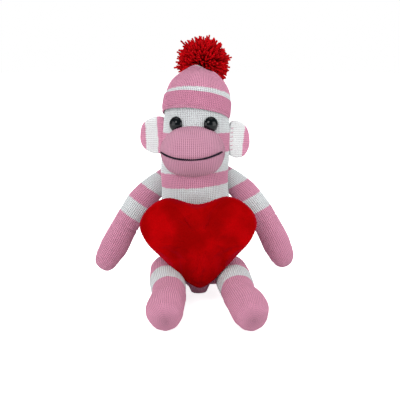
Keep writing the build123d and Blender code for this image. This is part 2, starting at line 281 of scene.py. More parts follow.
def gloss(name, color, rough, specular=0.11):
    """Smooth plastic with faint smears."""
    m = Mat(name)
    at = m.object_mm()
    smear = m.noise(at, 0.35, 3.0)
    m.bump(m.noise(at, 2.5), 0.004 * MM, 0.2)
    shade = m.mix(m.span(smear, 0.3, 0.7), color, (color[0] * 1.6, color[1] * 1.7, color[2] * 1.7, 1))
    return m.finish(shade, m.span(smear, 0.2, 0.8, rough, rough * 1.8), specular=specular)


def fibre(name):
    """Loose polyester filling."""
    m = Mat(name)
    at = m.object_mm()
    wisps = m.noise(at, 0.5, 6.0, 0.75)
    m.bump(wisps, 0.8 * MM, 0.8)
    color = m.mix(wisps, (0.7, 0.7, 0.7, 1), (0.95, 0.95, 0.94, 1))
    return m.finish(color, m.span(wisps, 0.0, 1.0, 0.85, 1.0), sheen=0.3)


FIBRE = fibre("fibrefill")
THREAD = yarn("pink_thread", (0.66, 0.27, 0.4, 1), (0.42, 0.13, 0.22, 1), 2.2)
RED_THREAD = yarn("red_thread", (0.45, 0.0, 0.01, 1), (0.2, 0.0, 0.0, 1), 2.2)
BLACK_YARN = yarn("black_yarn", (0.028, 0.018, 0.032, 1), (0.006, 0.004, 0.008, 1), 1.6, sheen=0.05)
POM_YARN = yarn("pompom_yarn", (0.66, 0.001, 0.006, 1), (0.40, 0.0, 0.002, 1), 1.1, sheen=0.0, tinted=True)
PLUSH = plush("red_plush")
EYE = gloss("eye_black", (0.0008, 0.002, 0.003, 1), 0.05, 0.3)
WASHER = gloss("washer_white", (0.62, 0.62, 0.6, 1), 0.35)

# ---- mesh helpers ----


def curve_through(x, xs, ys):
    """Smooth curve through points, without overshoot."""
    xs, ys = np.asarray(xs, float), np.asarray(ys, float)
    slope = np.diff(ys) / np.diff(xs)
    tangent = np.zeros_like(ys)
    for i in range(1, len(ys) - 1):
        if slope[i - 1] * slope[i] > 0:
            tangent[i] = 2 * slope[i - 1] * slope[i] / (slope[i - 1] + slope[i])
    tangent[0], tangent[-1] = slope[0], slope[-1]
    i = np.clip(np.searchsorted(xs, x) - 1, 0, len(xs) - 2)
    h = xs[i + 1] - xs[i]
    t = np.clip((x - xs[i]) / h, 0, 1)
    a = ys[i] * (2 * t**3 - 3 * t**2 + 1) + ys[i + 1] * (3 * t**2 - 2 * t**3)
    return a + h * (tangent[i] * (t**3 - 2 * t**2 + t) + tangent[i + 1] * (t**3 - t**2))


def eased(t):
    """0 to 1, level at both ends."""
    return t**2 * (3 - 2 * t)


def placed(points, place):
    m = np.array(place)
    return points @ m[:3, :3].T + m[:3, 3]


def attach(obj, body, node=None):
    """Puts a piece on a body and, with node, hides the CAD node that it stands for."""
    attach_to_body(obj, body)
    if node:
        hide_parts(node)


def mesh_object(name, points_mm, faces, material, uvs=None, place=None):
    """A smooth-shaded mesh from points in millimetres. uvs: one (x, y) per face corner."""
    points = np.asarray(points_mm, float)
    if place is not None:
        points = placed(points, place)
    mesh = bpy.data.meshes.new(name)
    mesh.from_pydata((points * MM).tolist(), [], faces)
    if uvs is not None:
        layer = mesh.uv_layers.new(name="knit")
        layer.data.foreach_set("uv", np.asarray(uvs, dtype=np.float32).ravel())
    mesh.polygons.foreach_set("use_smooth", [True] * len(mesh.polygons))
    mesh.materials.append(material)
    mesh.validate()
    mesh.update()
    obj = bpy.data.objects.new(name, mesh)
    bpy.context.scene.collection.objects.link(obj)
    return obj


def sheet(name, grid, material, u=None, v=None, caps=(True, True), place=None, flip=False):
    """A skin from a grid of points (rows, columns, 3).

    u: a value per column edge, v: a value per row; either may be (rows, columns + 1) instead."""
    rows, cols = grid.shape[:2]
    u = np.linspace(0, 1, cols + 1) if u is None else u
    v = np.arange(rows) if v is None else v
    v = v if v.ndim == 2 else v[:, None]
    uv = np.stack([np.broadcast_to(k, (rows, cols + 1)) for k in (u, v)], axis=-1)
    faces, uvs = [], []
    for i in range(rows - 1):
        for j in range(cols):
            k = (j + 1) % cols
            quad = [(i, j, j), (i, k, j + 1), (i + 1, k, j + 1), (i + 1, j, j)]
            if flip:
                quad.reverse()
            faces.append([a * cols + b for a, b, _ in quad])
            uvs += [uv[a, c] for a, _, c in quad]
    points = grid.reshape(-1, 3)
    for end, use in ((0, caps[0]), (rows - 1, caps[1])):
        if not use:
            continue
        points = np.vstack([points, grid[end].mean(axis=0)])
        centre = len(points) - 1
        for j in range(cols):
            k = (j + 1) % cols
            tri = [(end * cols + j, j), (end * cols + k, j + 1), (centre, j)]
            if (end == 0) != flip:
                tri.reverse()
            faces.append([a for a, _ in tri])
            uvs += [uv[end, c] for _, c in tri]
    return mesh_object(name, points, faces, material, uvs, place)


def normals(grid):
    along = np.gradient(grid, axis=0)
    around = (np.roll(grid, -1, axis=1) - np.roll(grid, 1, axis=1)) / 2
    normal = np.cross(around, along)
    return normal / np.maximum(np.linalg.norm(normal, axis=2, keepdims=True), 1e-9)


def relief(grid, lump=0.0, size=15.0, seed=0.0, rib=0.0, u=None):
    """Moves a grid along its normals: smooth lumps, and a rib for each column of stitches, which u counts."""
    normal = normals(grid)
    shift = np.zeros(grid.shape[:2])
    if lump:
        flat = grid.reshape(-1, 3) / size
        values = [noise.noise((x + seed, y, z)) for x, y, z in flat.tolist()]
        shift += lump * np.array(values).reshape(shift.shape)
    if rib:
        valley = np.abs(2 * (u % 1.0) - 1)
        shift += rib * ((1 - valley**2) - 0.6)
    return grid + normal * shift[:, :, None]


def ring_stack(heights, radii, cols=96):
    """Grid of circles about +Z; the seam is at the back (+Y)."""
    angle = np.linspace(0, 2 * pi, cols, endpoint=False) + pi / 2
    grid = np.empty((len(heights), cols, 3))
    grid[:, :, 0] = np.outer(radii, np.cos(angle))
    grid[:, :, 1] = np.outer(radii, np.sin(angle))
    grid[:, :, 2] = np.asarray(heights)[:, None]
    return grid, angle


def summed(steps):
    return np.concatenate([[0], np.cumsum(steps)])


def arc_lengths(heights, radii, zero_at):
    """Distance along a profile, 0 at the height given."""
    along = summed(np.hypot(np.diff(heights), np.diff(radii)))
    return along - np.interp(zero_at, heights, along)


def wires(name, paths, radius, material, sides=6, place=None, tints=None):
    """Round threads through lists of points, in one mesh. radius: one number, or one per point of a path."""
    points, faces, values = [], [], []
    for n, path in enumerate(paths):
        path = np.asarray(path, float)
        count = len(path)
        tangent = np.gradient(path, axis=0)
        tangent /= np.maximum(np.linalg.norm(tangent, axis=1, keepdims=True), 1e-9)
        side = np.cross(tangent[0], (0.0, 0.0, 1.0))
        if np.linalg.norm(side) < 0.1:
            side = np.cross(tangent[0], (0.0, 1.0, 0.0))
        base = len(points)
        for i in range(count):
            side = side - tangent[i] * side.dot(tangent[i])
            side /= np.linalg.norm(side)
            other = np.cross(tangent[i], side)
            r = radius[i] if np.ndim(radius) else radius
            for k in range(sides):
                a = 2 * pi * k / sides
                points.append(path[i] + r * (cos(a) * side + sin(a) * other))
                values.append(tints[n] if tints else 0.0)
        for i in range(count - 1):
            a, b = base + i * sides, base + (i + 1) * sides
            for k in range(sides):
                q = (k + 1) % sides
                faces.append([a + k, a + q, b + q, b + k])
        faces.append([base + k for k in reversed(range(sides))])
        faces.append([base + (count - 1) * sides + k for k in range(sides)])
    obj = mesh_object(name, points, faces, material, None, place)
    if tints:
        layer = obj.data.attributes.new("tint", "FLOAT", "POINT")
        layer.data.foreach_set("value", values)
    return obj


def filling(node, grid, inset, every, place=None):
    """Stuffing just inside a skin's grid; it stands for the CAD's stuffing node."""
    inner = grid[::2, ::every]
    piece = sheet(node.replace("_stuffing", "_filling"), inner - normals(inner) * inset, FIBRE, place=place)
    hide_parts(node)
    return piece


# ---- limbs ----

RIB = 0.34  # how far a column of stitches stands proud of the groove beside it, mm
PER_WALE = 6  # mesh columns for each column of stitches
RING_STEP = 1.5
TIP_ROWS, ROOT_ROWS, SEAM_ROWS = 15, 16, 9
SEAM_REACH = 26.0  # length over which a sewn opening becomes round
SEAM_BULGE = 5.0  # how deep the closed end of a sewn opening is
FABRIC = 1.5  # from a skin's face to its filling


def sewn_opening(grid, v, heights, side, angle, seam):
    """Turns a limb's first rows into an opening that is sewn flat to the torso's side.

    seam: (side, tilt from square in degrees, centre x, centre z, half height, half depth)."""
    way, tilt, cx, cz, half, deep = seam
    cap = np.linspace(0.06, pi / 2, SEAM_ROWS)
    c, q = np.cos(angle), np.sin(angle)
    for i, h in enumerate(heights):
        if h >= SEAM_REACH:
            break
        t = h / SEAM_REACH
        ease = eased(t)
        a = radians(tilt) * (1 - ease)
        tall = half + (side[i] - half) * ease
        wide = deep + (side[i] - deep) * ease**0.7
        centre = np.array([way * cx * (1 - t) ** 1.5, 0.0, cz + (SEAM_REACH - cz) * t])
        if i < SEAM_ROWS:
            tall, wide = tall * sin(cap[i]), wide * sin(cap[i])
            centre = centre - SEAM_BULGE * cos(cap[i]) * np.array([way * sin(a), 0.0, cos(a)])
        grid[i, :, 0] = centre[0] + tall * c * cos(a)
        grid[i, :, 1] = wide * q
        grid[i, :, 2] = centre[2] - way * tall * c * sin(a)
        v[i, :-1] = grid[i, :, 2]
        v[i, -1] = v[i, 0]


def limb(
    name, place, rings, length, material, wales, seed, seam=None, sway=None, creases=(), lump=0.7, blunt=1.0
):
    """Stuffed knitted tube along +Z. Its root is a gathered ball or, with seam, a sewn opening.

    rings: (height, radius). sway: (height, shift along X). blunt: how round the tip is, 1 for a half ball.
    creases: (height, depth, width, lean, direction round the limb, how far round it goes)."""
    root_r = rings[0][1]
    start, end = rings[-1][0], length
    tip = np.linspace(0.0, pi / 2 - 0.04, TIP_ROWS)
    if seam:
        body = np.arange(0.0, start, RING_STEP)
        heights = np.concatenate([np.zeros(SEAM_ROWS), body, start + (end - start) * np.sin(tip)])
    else:
        root = np.linspace(0.05, pi / 2, ROOT_ROWS)
        body = np.arange(RING_STEP, start, RING_STEP)
        heights = np.concatenate([-root_r * np.cos(root), body, start + (end - start) * np.sin(tip)])
    side = curve_through(np.maximum(heights, 0), *zip(*rings))
    radii = side.copy()
    radii[-TIP_ROWS:] = rings[-1][1] * np.cos(tip) ** blunt
    if not seam:
        radii[:ROOT_ROWS] = root_r * np.sin(root)
    cols = wales * PER_WALE
    grid, angle = ring_stack(heights, radii, cols)
    along = arc_lengths(heights, radii, 0.0)

    near_tip = np.exp(-(((heights - end) / 5.0) ** 2))[:, None]
    pleat = 1 + near_tip * 0.06 * np.cos(9 * angle + 1.0)
    if not seam:
        pleat = pleat + np.exp(-(((heights + root_r) / 5.0) ** 2))[:, None] * 0.10 * np.cos(11 * angle)
    grid[:, :, :2] *= pleat[:, :, None]
    for at, depth, width, lean, turn, spread in creases:
        line = at + lean * np.cos(angle - turn)[None, :]
        share = np.exp(-((1 - np.cos(angle - turn)) / spread))[None, :]
        dent = depth * np.exp(-(((heights[:, None] - line) / width) ** 2))
        puff = 0.5 * depth * np.exp(-(((heights[:, None] - line) / (3.6 * width)) ** 2))
        grid[:, :, :2] *= (1 - share * (dent - puff) / np.maximum(radii[:, None], 3.0))[:, :, None]
    v = np.repeat(along[:, None], cols + 1, axis=1)
    if seam:
        sewn_opening(grid, v, heights, side, angle, seam)
    u = np.linspace(0, wales, cols + 1)
    fade = np.clip((end - 1.5 - heights) / 8.0, 0, 1)[:, None]
    smooth = relief(grid, lump, 17.0, seed)
    ribbed = relief(smooth, rib=RIB, u=u[None, :cols])
    grid = smooth + (ribbed - smooth) * fade[:, :, None]
    if sway:
        at, shift = zip(*sway)
        grid[:, :, 0] += curve_through(np.clip(grid[:, :, 2], at[0], at[-1]), at, shift)
    skin = sheet(name, grid, material, u, v, place=place)
    body = name.replace("_knit", "")
    for piece in (skin, filling(f"{body}_stuffing", grid, FABRIC, PER_WALE, place)):
        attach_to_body(piece, body)
    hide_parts(f"{body}_skin")
    return skin


def stripes(*edges):
    """Pink, then a change between white and pink at each edge."""
    return [(BELOW_ALL, PINK)] + [(edge, PINK if n % 2 else WHITE) for n, edge in enumerate(edges)]


ARM_LENGTH, ARM_WALES = 102.6, 43
ARM_RINGS = ((0.0, 13.6), (26.0, 13.5), (38.0, 13.0), (47.0, 12.8), (60.0, 13.5), (76.0, 13.6), (87.0, 12.4))
ARM_BANDS = {"right": (-9.0, 8.0, 25.0, 41.5), "left": (-11.0, 5.5, 23.0, 39.5)}
ARM_SWAY = {
    "right": ((-12, 0.0), (20, 0.6), (45, 1.4), (75, -0.6), (102, -1.0)),
    "left": ((-12, 0.0), (20, 1.2), (45, 3.2), (75, 1.2), (102, -1.6)),
}
ARM_SEAM = (-7.6, -4.6, 14.2, 9.0)
ELBOW = {"right": (50.0, 2.0, 1.0, 2.0, 0.9, 0.6), "left": (50.0, 1.2, 1.0, 2.0, 0.9, 0.9)}
WRIST = (92.0, 0.8, 1.8, 1.5, 2.0, 3.0)
HAND_BLUNT = {"right": 0.7, "left": 0.9}
LEG_LENGTH, LEG_WALES = 101.5, 55
LEG_RINGS = (
    (0.0, 17.0), (10.0, 17.2), (24.0, 17.0), (36.0, 16.4), (49.0, 15.2),
    (58.0, 15.3), (72.0, 16.3), (83.0, 16.2), (90.0, 14.2),
)
LEG_BANDS = {"right": (24.0, 44.0), "left": (21.5, 42.5)}
LEG_SWAY = {
    "right": ((-18, 0.0), (15, 0.0), (34, 1.0), (50, 2.4), (66, 1.2), (82, -0.6), (103, 1.0)),
    "left": ((-18, 0.0), (15, 0.0), (34, -0.4), (50, -1.2), (66, 0.2), (82, 1.4), (103, 0.4)),
}
KNEE = (55.0, 2.2, 1.1, 2.5, 1.5 * pi, 1.4)
GROIN = (5.0, 0.8, 2.2, 2.0, 1.0, 3.0)
TAIL_LENGTH, TAIL_WALES = 88.6, 26
TAIL_RINGS = ((0.0, 8.2), (12.0, 8.0), (45.0, 7.6), (70.0, 7.6), (80.0, 6.6))
TAIL_BAND = (24.0, 38.0)

for side, sign in SIDES.items():
    name = f"{side}_arm_knit"
    material = knit(name, stripes(*ARM_BANDS[side]), wales=ARM_WALES, jog=3.4, jog_at=0.5 + sign * 0.04)
    skin = limb(
        name, shoulder_place(side), ARM_RINGS, ARM_LENGTH, material, ARM_WALES,
        seam=(sign, 90 - ARM_ANGLE[side], *ARM_SEAM),
        sway=[(z, sign * x) for z, x in ARM_SWAY[side]],
        creases=(ELBOW[side], WRIST), seed=3.0 + sign, blunt=HAND_BLUNT[side],
    )
    name = f"{side}_leg_knit"
    material = knit(name, stripes(*LEG_BANDS[side]), wales=LEG_WALES, jog=1.6, jog_at=0.2)
    skin = limb(
        name, hip_place(side), LEG_RINGS, LEG_LENGTH, material, LEG_WALES,
        sway=LEG_SWAY[side], creases=(KNEE, GROIN), seed=8.0 + sign, lump=0.9, blunt=0.85,
    )

material = knit("tail_knit", stripes(*TAIL_BAND), wales=TAIL_WALES)
place = move(*joint_mm("tail_wag")) @ rot(TAIL_TILT, 0, 0)
skin = limb("tail_knit", place, TAIL_RINGS, TAIL_LENGTH, material, TAIL_WALES, seed=14.0, lump=0.4)

# ---- torso and head: one striped tube that bends and twists at the neck ----

TUBE_WALES = 110
TUBE_COLUMNS = TUBE_WALES * PER_WALE
TUBE_PROFILE = (
    (0.0, 19.0), (3.0, 24.6), (8.0, 29.2), (16.0, 32.6), (28.0, 34.6), (48.0, 35.2), (70.0, 34.6),
    (92.0, 33.8), (112.0, 33.3), (128.0, 33.6), (150.0, 33.2), (168.0, 32.5), (180.0, 31.6), (190.0, 30.4),
)
TUBE_BANDS = stripes(52.5, 71.0, 89.5, 108.8, 122.3, 141.8, 160.3)
TUBE_U = np.linspace(0, TUBE_WALES, TUBE_COLUMNS + 1)
STRIPE_LEAN = 1.2  # how far the stripes of the wide tubes lean, mm
NECK_EASE = 12.0  # lumps fade over this length towards the neck


def tube_radius(z):
    return curve_through(np.asarray(z, float), *zip(*TUBE_PROFILE))


def tube_skin(name, grid, ease, lump, size, seed, frame_of, along, caps):
    """Lumps and ribs on part of the tube; ease is 0 where it must join the next part."""
    grid = grid + (relief(grid, lump, size, seed) - grid) * ease[:, None, None]
    grid = relief(grid, rib=RIB, u=TUBE_U[None, :-1])
    material = knit(name, TUBE_BANDS, wales=TUBE_WALES, slope=STRIPE_LEAN)
    return sheet(name, frame_of(grid), material, TUBE_U, along, caps=caps)


BELLY_OUT, BELLY_Z, BELLY_SPREAD = 1.8, 45, 26
torso_z = np.concatenate([[0.0], np.arange(0.8, 8, 1.2), np.linspace(9, NECK_Z, 68)])
torso_grid, tube_angle = ring_stack(torso_z, tube_radius(torso_z), TUBE_COLUMNS)
ahead = np.maximum(0, -np.sin(tube_angle))[None, :]
torso_grid[:, :, 1] -= BELLY_OUT * np.exp(-(((torso_z - BELLY_Z) / BELLY_SPREAD) ** 2))[:, None] * ahead
# Between the legs the seat narrows to a small rounded bulge: a hollow on each side of the front.
HOLLOW_TOP, HOLLOW_HEIGHT, HOLLOW_DEPTH = 40.0, 30.0, 0.42
HOLLOW_AT, HOLLOW_SPREAD = 0.78, 0.36  # radians from straight ahead
off_front = np.abs((tube_angle - 1.5 * pi + pi) % (2 * pi) - pi)
low = eased(np.clip((HOLLOW_TOP - torso_z) / HOLLOW_HEIGHT, 0, 1))[:, None]
hollow = 1 - low * HOLLOW_DEPTH * np.exp(-(((off_front - HOLLOW_AT) / HOLLOW_SPREAD) ** 2))[None, :]
torso_grid[:, :, :2] *= hollow[:, :, None]
# In front the underside also rises beside that bulge, more the further forward it is.
BULGE_HALF, BULGE_EDGE = 5.6, 5.2
RISE, RISE_SLOPE, RISE_FROM_Y = 12.0, 0.22, -30


def seated(grid):
    """The torso's place, with its underside flat on the floor behind and lifted in front."""
    grid = placed(grid, TORSO)
    beside = np.clip((np.abs(grid[:, :, 0]) - BULGE_HALF) / BULGE_EDGE, 0, 1)
    lift = eased(beside) * np.maximum(0, RISE - RISE_SLOPE * (grid[:, :, 1] - RISE_FROM_Y))
    grid[:, :, 2] = np.maximum(grid[:, :, 2], lift)
    return grid


torso = tube_skin(
    "torso_knit", torso_grid, np.clip((NECK_Z - torso_z) / NECK_EASE, 0, 1), lump=1.3, size=26.0, seed=21.0,
    frame_of=seated, along=torso_z, caps=(True, False),
)
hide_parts("torso_skin")
FILLING_TOP, FILLING_INSET = 100, 2.4
torso_core = seated(torso_grid)[torso_z < FILLING_TOP]
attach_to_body(filling("torso_stuffing", torso_core, FILLING_INSET, PER_WALE), "torso")

# The head's frame takes over from the torso's between these two heights, so that the tube has no step.
TAKE_OVER = (NECK_Z, 134.0)
HEAD_DOME, HEAD_SIDE_TOP, HEAD_ROWS = 30.4, 190.0, 52
dome = np.linspace(0.08, pi / 2 - 0.05, 12)
head_side = np.linspace(NECK_Z, HEAD_SIDE_TOP, HEAD_ROWS)
head_z = np.concatenate([head_side, HEAD_SIDE_TOP + HEAD_DOME * np.sin(dome)])
head_r = np.concatenate([tube_radius(head_side), HEAD_DOME * np.cos(dome)])


def turned(grid):
    share = eased(np.clip((head_z - TAKE_OVER[0]) / (TAKE_OVER[1] - TAKE_OVER[0]), 0, 1))[:, None, None]
    return placed(grid, TORSO) * (1 - share) + placed(grid, HEAD) * share


head_grid, _ = ring_stack(head_z, head_r, TUBE_COLUMNS)
head = tube_skin(
    "head_knit", head_grid, np.clip((head_z - NECK_Z) / NECK_EASE, 0, 1), lump=0.8, size=24.0, seed=33.0,
    frame_of=turned, along=arc_lengths(head_z, head_r, NECK_Z) + NECK_Z, caps=(False, True),
)
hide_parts("head_skin")


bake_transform(torso)
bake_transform(head)

# ---- muzzle and mouth ----

MUZZLE_A, MUZZLE_R = 30.8, 25.1
MUZZLE_FULL = 2.35  # power of the outline: 2 for an ellipse, more for fuller ends
MUZZLE_COLS = 132
MOUTH_SPAN = 28.8


def mouth_drop(x):
    """Height of the mouth line from the muzzle's middle."""
    return -5.4 + 6.4 * (np.abs(x) / MOUTH_SPAN) ** 2.3


def muzzle_section(x):
    """How far out x lies, as a share of the half width, and the muzzle's radius there."""
    share = np.clip(np.abs(x) / MUZZLE_A, 0, 0.9995)
    return share, MUZZLE_R * (1 - share**MUZZLE_FULL) ** 0.5


def muzzle_point(x, turn):
    """x along the face; turn is 0 straight ahead, positive up. The lips stand out round the mouth line."""
    share, r = muzzle_section(x)
    z = r * np.sin(turn)
    y = -r * np.cos(turn) * (1.0 + 0.06 * np.exp(-(((turn - 0.25) / 0.7) ** 2)))
    below = mouth_drop(x) - z
    line = np.exp(-((below / 1.5) ** 2))
    lip = np.exp(-(((below + 5.0) / 4.5) ** 2))
    chin = 1 / (1 + np.exp(-(below - 1.0) / 1.2))
    push = np.where(np.cos(turn) > 0, -1.7 * line + 1.1 * lip - 1.2 * chin, 0.0) * (1 - share**6)
    scale = 1 + push / np.maximum(r, 4.0)
    return np.stack([x + 0 * turn, y * scale, z * scale], axis=-1)


def muzzle_grid():
    """Points, and the knit's u and v: its columns of stitches run round the muzzle, side by side along x."""
    ends = MUZZLE_A * np.sin(np.linspace(-pi / 2 + 0.03, pi / 2 - 0.03, 400))
    along = arc_lengths(ends, MUZZLE_R * np.sqrt(1 - (ends / MUZZLE_A) ** 2), 0.0)
    even = np.arange(ceil(along[0] / WALE * PER_WALE), floor(along[-1] / WALE * PER_WALE) + 1) / PER_WALE
    across = np.interp(even * WALE, along, ends)
    turns = np.linspace(-pi, pi, MUZZLE_COLS + 1)
    grid = muzzle_point(across[:, None], turns[None, :-1])
    grid = relief(relief(grid, 0.7, 15.0, 41.0), rib=-RIB, u=even[:, None])
    u = np.repeat(even[:, None], MUZZLE_COLS + 1, axis=1)
    return grid, u, np.repeat(turns[None, :] * MUZZLE_R, len(even), axis=0)


grid, muzzle_u, muzzle_v = muzzle_grid()
muzzle_look = knit("muzzle_knit", [(BELOW_ALL, MUZZLE_PINK)], ribs=0.6)
muzzle = sheet("muzzle_knit", grid, muzzle_look, muzzle_u, muzzle_v, place=MUZZLE)
attach(muzzle, "head", "muzzle_skin")
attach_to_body(filling("muzzle_stuffing", grid, -FABRIC, 1, MUZZLE), "head")


def twisted(path, radius, pitch, phase):
    """One ply of a two-ply yarn that follows a path."""
    path = np.asarray(path, float)
    along = summed(np.linalg.norm(np.diff(path, axis=0), axis=1))
    tangent = np.gradient(path, axis=0)
    tangent /= np.linalg.norm(tangent, axis=1, keepdims=True)
    side = np.cross(tangent, (0, 0, 1.0))
    side /= np.linalg.norm(side, axis=1, keepdims=True)
    up = np.cross(side, tangent)
    a = 2 * pi * along / pitch + phase
    return path + radius * (np.cos(a)[:, None] * side + np.sin(a)[:, None] * up)


PLY_OUT, PLY_PITCH, PLY_R = 0.45, 3.4, 0.68
YARN_PROUD = 0.55
mouth_x = np.linspace(-MOUTH_SPAN, MOUTH_SPAN, 110)
mouth = muzzle_point(mouth_x, np.arcsin(np.clip(mouth_drop(mouth_x) / muzzle_section(mouth_x)[1], -1, 1)))
mouth[:, 1] -= YARN_PROUD
plies = [twisted(mouth, PLY_OUT, PLY_PITCH, phase) for phase in (0.0, pi)]
mouth_yarn = wires("mouth_yarn_plies", plies, PLY_R, BLACK_YARN, sides=8, place=MUZZLE)
attach(mouth_yarn, "head", "mouth_yarn")

# ---- eyes ----

# The button's profile, from the middle of its face round to the end of its stem: (radius, height).
EYE_PROFILE = (
    (0.02, 5.9), (1.4, 5.82), (2.9, 5.42), (4.3, 4.7), (5.5, 3.6), (6.3, 2.4), (6.8, 1.35), (6.98, 0.7),
    (6.9, 0.25), (6.4, 0.0), (4.0, -0.1), (1.7, -0.2), (1.6, -9.0), (0.02, -9.0),
)
EYE_Z = {"left": 169.2, "right": 168.2}
EYE_TURN, EYE_OUT, EYE_WIDER = 30.5, 32.2, 1.06

for side, sign in SIDES.items():
    surface = HEAD @ move(0, 0, EYE_Z[side]) @ rot(0, 0, sign * EYE_TURN) @ move(0, -EYE_OUT, 0)
    steps = np.linspace(0, len(EYE_PROFILE) - 1, 60)
    radii, heights = (np.interp(steps, range(len(EYE_PROFILE)), line) for line in zip(*EYE_PROFILE))
    grid, _ = ring_stack(heights, EYE_WIDER * radii, 48)
    eye = sheet(f"{side}_eye_button", grid, EYE, place=surface @ rot(90.0, 0, 0), flip=True)
    attach(eye, "head", f"{side}_eye")

# ---- ears ----

EAR_PLACE = (36.0, 3.0, 153.5)
EAR_SWEEP = {"left": 28.0, "right": 12.0}
EAR_RISE = {"left": 0.5, "right": 1.8}
EAR_REACH = {"left": 15.2, "right": 18.4}
EAR_LEAN = {"left": 0.10, "right": 0.03}
EAR_BANDS = {
    "right": [(BELOW_ALL, PINK), (2.9, EAR_WHITE), (15.4, PINK)],
    "left": [(BELOW_ALL, EAR_WHITE), (11.5, PINK)],
}
EAR_BAND_LEAN = 0.07
EAR_MIDDLE, EAR_HALF_HEIGHT, EAR_HALF_THICK = 2.8, 18.4, 4.3
EAR_SQUARE = 0.86  # power of the outline: 1 for an ellipse, less for a squarer one
EAR_TAPER = 0.10  # share of its height that the ear loses at the head
EAR_CUP, EAR_SWEEP_BACK, EAR_TIP = 3.0, 1.4, 21.0
EAR_ROWS, EAR_COLS = 68, 132
DRAWN_IN, DRAWN_SHARE = -2.0, 0.25
LADDER_STITCHES, LADDER_LOW, LADDER_STEP = 13, -12.5, 2.1


def ear_grid(side, sign):
    """Flat pocket, cupped towards the front and drawn in where it is sewn to the head."""
    angle = np.linspace(0, 2 * pi, EAR_COLS, endpoint=False)
    across, tall = (np.sign(k) * np.abs(k) ** EAR_SQUARE for k in (np.cos(angle), np.sin(angle)))
    rows = []
    for t in np.linspace(0.03, pi - 0.03, EAR_ROWS):  # from the back's middle, over the rim, to the front
        rho = sin(t) ** 0.8
        in_front = t > pi / 2
        z = EAR_HALF_HEIGHT * rho * tall * (1 - EAR_TAPER * np.maximum(0, -np.cos(angle)) * rho)
        x = EAR_MIDDLE + EAR_REACH[side] * rho * across - EAR_LEAN[side] * z
        x = np.where(x < DRAWN_IN, DRAWN_IN - DRAWN_SHARE * (DRAWN_IN - x), x)
        y = (-1.0 if in_front else 1.0) * EAR_HALF_THICK * abs(cos(t)) ** 0.7 * np.ones(EAR_COLS)
        cup = EAR_CUP * (1 - rho**2)
        y = y + (cup if in_front else cup * 0.55)
        y = y - EAR_SWEEP_BACK * (np.clip(x, 0, EAR_TIP) / EAR_TIP) ** 2
        rows.append(np.stack([sign * x, y, z], axis=-1))
    return relief(np.array(rows), 0.6, 11.0, 50.0 + sign)


def ear(side, sign):
    x, y, z = EAR_PLACE
    place = HEAD @ move(sign * x, y, z + EAR_RISE[side]) @ rot(0, 0, sign * EAR_SWEEP[side])
    grid = ear_grid(side, sign)
    wrapped = np.concatenate([grid, grid[:, :1]], axis=1)
    u = wrapped[:, :, 2] / WALE
    v = wrapped[:, :, 0] * sign - EAR_BAND_LEAN * wrapped[:, :, 2]
    material = knit(f"{side}_ear_knit", EAR_BANDS[side], ribs=0.5, depth=0.6, shadow=SHALLOW_GAP)
    skin = sheet(f"{side}_ear_knit", grid, material, u, v, place=place, flip=sign > 0)
    attach(skin, f"{side}_ear", f"{side}_ear")
    # Ladder stitches along the line where the ear meets the head, on its two faces in turn.
    paths = []
    for n in range(LADDER_STITCHES):
        z = LADDER_LOW + LADDER_STEP * n
        face = -1 if n % 2 else 1
        path = ((-3.6, 3.4, 0.0), (-2.4, 4.3, 0.4), (-1.3, 3.6, 0.8))
        paths.append([(sign * along, face * out, z + up) for along, out, up in path])
    stitches = wires(f"{side}_ear_stitches", paths, 0.32, THREAD, place=place)
    attach(stitches, "head", f"{side}_ear_thread")


for side, sign in SIDES.items():
    ear(side, sign)

# ---- hat ----

HAT_Z, HAT_BACK, HAT_ROLL = 186.0, 15.0, 3.0
HAT = HEAD @ move(0, 0, HAT_Z) @ rot(-HAT_BACK, HAT_ROLL, 0)
CROWN_RISE, CROWN_R = 4.6, 31.6
HAT_WALES = 108
HAT_U = np.linspace(0, HAT_WALES, HAT_WALES * PER_WALE + 1)
CROWN_BANDS = [(BELOW_ALL, DEEP_PINK), (1.0, WHITE), (10.6, PINK), (48.6, WHITE)]
knot_way = (HAT.inverted() @ Vector(joint_mm("pompom_nod")) - Vector((0, 0, CROWN_RISE))).normalized()
# Bumps and the fold of the crown: directions from its centre, heights in mm, and spreads.
PEAK, PEAK_RISE, PEAK_SPREAD = Vector((-0.17, -0.02, 0.98)).normalized(), 4.6, 0.26
LOBE, LOBE_RISE, LOBE_SPREAD = Vector((0.45, -0.05, 0.88)).normalized(), 0.9, 0.22
VALLEY, VALLEY_DEPTH, VALLEY_SPREAD = Vector((0.26, -0.10, 0.95)).normalized(), 4.2, 0.075
FOLD_END, FOLD_FADE = 1.25, 0.22
PLEATS, PLEAT_RISE, PLEAT_SPREAD = 13, 0.9, 0.42
fold_way = (VALLEY - knot_way).normalized()
knot_side = knot_way.cross(Vector((1, 0, 0))).normalized()
knot_other = knot_way.cross(knot_side)


def crown_offset(way):
    """How far the crown stands proud of a ball, for a direction from its centre."""
    off = PEAK_RISE * exp(-((way - PEAK).length / PEAK_SPREAD) ** 2)
    off += LOBE_RISE * exp(-((way - LOBE).length / LOBE_SPREAD) ** 2)
    # A fold that runs from the knot over the valley and fades on the front.
    from_knot = way - knot_way
    t = from_knot.dot(fold_way)
    aside = (from_knot - fold_way * t).length
    reach = exp(-(max(0.0, t - FOLD_END) / FOLD_FADE) ** 2)
    off -= VALLEY_DEPTH * exp(-((aside / VALLEY_SPREAD) ** 2)) * reach * min(1.0, max(0.0, t / 0.3))
    # Pleats where the crown is gathered under the pompom.
    apart = from_knot.length
    spin = atan2(from_knot.dot(knot_side), from_knot.dot(knot_other))
    off += PLEAT_RISE * cos(PLEATS * spin) * exp(-((apart / PLEAT_SPREAD) ** 2)) * min(1.0, apart / 0.08)
    return off


